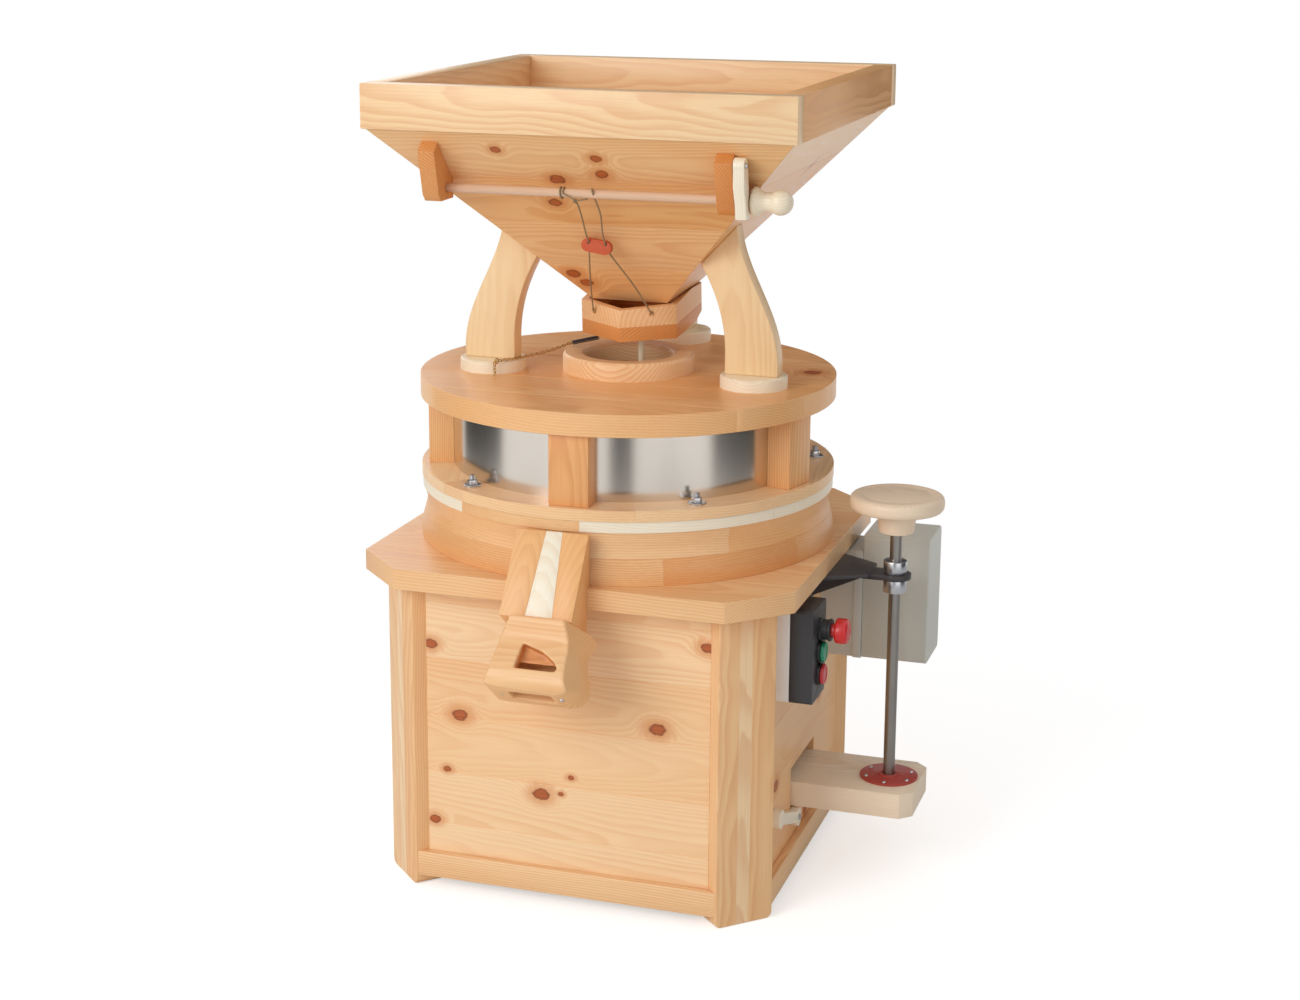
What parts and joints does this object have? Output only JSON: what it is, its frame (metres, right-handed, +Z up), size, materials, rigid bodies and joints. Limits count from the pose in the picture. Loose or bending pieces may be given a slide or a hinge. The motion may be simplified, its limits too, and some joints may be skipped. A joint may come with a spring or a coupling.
{
  "type": "grain mill",
  "caption": "Free-standing stone grain mill: wooden cabinet and housing, square hopper on curved legs, spout, and a hand wheel and lever that set the stone gap.",
  "frame": {"origin": "where the axis of the millstones meets the floor under the cabinet", "axes": "+Z up along the stone axis, -Y to the spout and front of the hopper, +X to the hand wheel"},
  "size_m": [0.747, 0.744, 1.089],
  "materials": {
    "pine": "oiled knotty pine, satin",
    "oiled_pine": "darker oiled pine end grain, satin",
    "pale_wood": "pale oiled softwood, satin",
    "beech": "steamed beech, matt",
    "painted_steel": "anthracite paint, matt",
    "red_flange": "red-brown paint, satin",
    "zinc_steel": "zinc plated",
    "dull_steel": "bare bright-drawn steel",
    "brushed_band": "vertically brushed sheet",
    "spring_steel": "dark oiled spring wire",
    "chain_brass": "brassed chain",
    "cast_parts": "cast, painted dark",
    "millstone": null,
    "alloy": "turned alloy",
    "motor_alloy": "die-cast motor frame, grey paint",
    "belt_rubber": "flat ribbed drive belt",
    "grey_plastic": "light grey moulded plastic",
    "black_plastic": "black moulded plastic",
    "red_plastic": "red moulded plastic",
    "green_plastic": "green moulded plastic",
    "twine": "waxed brown twine",
    "tab_leather": "red-brown leather"
  },
  "bodies": {
    "cabinet": {"table_top": "pine", "corner_posts": "pine", "plain_panels": "pine", "right_panel": "pine", "base_rails": "pine", "wood_screws": "zinc_steel", "cable_gland": "black_plastic", "pivot_block": "painted_steel", "pivot_pin": "zinc_steel", "spindle_bracket": "painted_steel", "switch_base": "grey_plastic", "switch_cover": "black_plastic", "estop_collar": "black_plastic", "control_box_base": "grey_plastic", "control_box_hood": "grey_plastic", "drum_wall": "pine", "collar_ring": "pine", "steel_band": "brushed_band", "spacer_blocks": "pine", "housing_bolts": "zinc_steel", "drum_lid": "pine", "inlet_ring": "pine", "bed_stone": "millstone", "neck_bearing": "cast_parts", "motor_housing": "motor_alloy", "drive_belt": "belt_rubber", "spout_chute": "pine", "spout_head": "oiled_pine", "leg_pads": "pale_wood", "hopper_legs": "pale_wood", "hopper_walls": "pine", "hopper_rim": "pine", "rod_brackets": "oiled_pine", "shoe_hanger": "zinc_steel", "feed_twine": "twine", "pull_chain": "chain_brass", "pull_spring": "spring_steel"},
    "hand_wheel_set": {"hand_wheel": "beech", "spindle": "dull_steel", "spindle_collars": "zinc_steel"},
    "lever": {"lever_arm": "beech", "flange_nut": "red_flange"},
    "footstep": {"footstep_cup": "zinc_steel"},
    "runner": {"runner_stone": "millstone", "rynd": "cast_parts", "main_shaft": "dull_steel", "sweeper": "dull_steel", "driven_pulley": "alloy"},
    "motor_rotor": {"motor_shaft": "dull_steel", "motor_pulley": "alloy"},
    "shoe": {"shoe": "oiled_pine", "shoe_dowel": "pale_wood"},
    "feed_rod": {"feed_rod": "beech", "feed_knob": "beech"},
    "pawl": {"pawl": "pale_wood"},
    "turn_button": {"turn_button": "pale_wood"},
    "estop": {"estop_button": "red_plastic"},
    "start": {"start_button": "green_plastic"},
    "stop": {"stop_button": "red_plastic"},
    "twine_tab": {"twine_tab": "tab_leather"}
  },
  "joints": [
    {"name": "stone_lift", "type": "slide", "parent": "cabinet", "child": "footstep", "axis": [0, 0, 1], "range_m": [0, 0.00294]},
    {"name": "wheel_turn", "type": "hinge", "parent": "cabinet", "child": "hand_wheel_set", "pos_m": [0.383, 0, 0.5], "axis": [0, 0, 1], "range_deg": [0, 721]},
    {"name": "lever_tilt", "type": "hinge", "parent": "cabinet", "child": "lever", "pos_m": [-0.222, 0, 0.1155], "axis": [0, -1, 0], "range_deg": [0, 0.7676]},
    {"name": "runner_spin", "type": "hinge", "parent": "footstep", "child": "runner", "pos_m": [0, 0, 0.2], "axis": [0, 0, 1], "continuous": true},
    {"name": "motor_spin", "type": "hinge", "parent": "cabinet", "child": "motor_rotor", "pos_m": [-0.15, 0.15, 0.25], "axis": [0, 0, 1], "continuous": true},
    {"name": "shoe_tilt", "type": "hinge", "parent": "cabinet", "child": "shoe", "pos_m": [0.005, 0.122, 0.785], "axis": [1, 0, 0], "range_deg": [-0.5, 6], "deforming": ["feed_twine", "pull_spring"]},
    {"name": "feed_rod_turn", "type": "hinge", "parent": "cabinet", "child": "feed_rod", "pos_m": [0, -0.203, 0.953], "axis": [1, 0, 0], "range_deg": [-8.87, 105.31]},
    {"name": "tab_travel", "type": "slide", "parent": "cabinet", "child": "twine_tab", "axis": [0, 0.667, -0.745], "range_m": [-0.0011, 0.01305]},
    {"name": "pawl_swing", "type": "hinge", "parent": "cabinet", "child": "pawl", "pos_m": [0.221, -0.236, 1.001], "axis": [-1, 0, 0], "range_deg": [0, 25]},
    {"name": "turn_button_swing", "type": "hinge", "parent": "cabinet", "child": "turn_button", "pos_m": [0.266, -0.062, 0.082], "axis": [1, 0, 0], "range_deg": [-20, 25]},
    {"name": "estop_press", "type": "slide", "parent": "cabinet", "child": "estop", "axis": [-1, 0, 0], "range_m": [0, 0.005]},
    {"name": "start_press", "type": "slide", "parent": "cabinet", "child": "start", "axis": [-1, 0, 0], "range_m": [0, 0.003], "stiffness_N_per_m": 400},
    {"name": "stop_press", "type": "slide", "parent": "cabinet", "child": "stop", "axis": [-1, 0, 0], "range_m": [0, 0.003], "stiffness_N_per_m": 400}
  ],
  "couplings": [
    {"joint": "wheel_turn", "follows": "stone_lift", "rad_per_m": 4280.8},
    {"joint": "lever_tilt", "follows": "stone_lift", "rad_per_m": 4.5045},
    {"joint": "motor_spin", "follows": "runner_spin", "ratio": 4},
    {"joint": "feed_rod_turn", "follows": "shoe_tilt", "ratio": 17.535},
    {"joint": "tab_travel", "follows": "shoe_tilt", "m_per_rad": 0.1245}
  ]
}
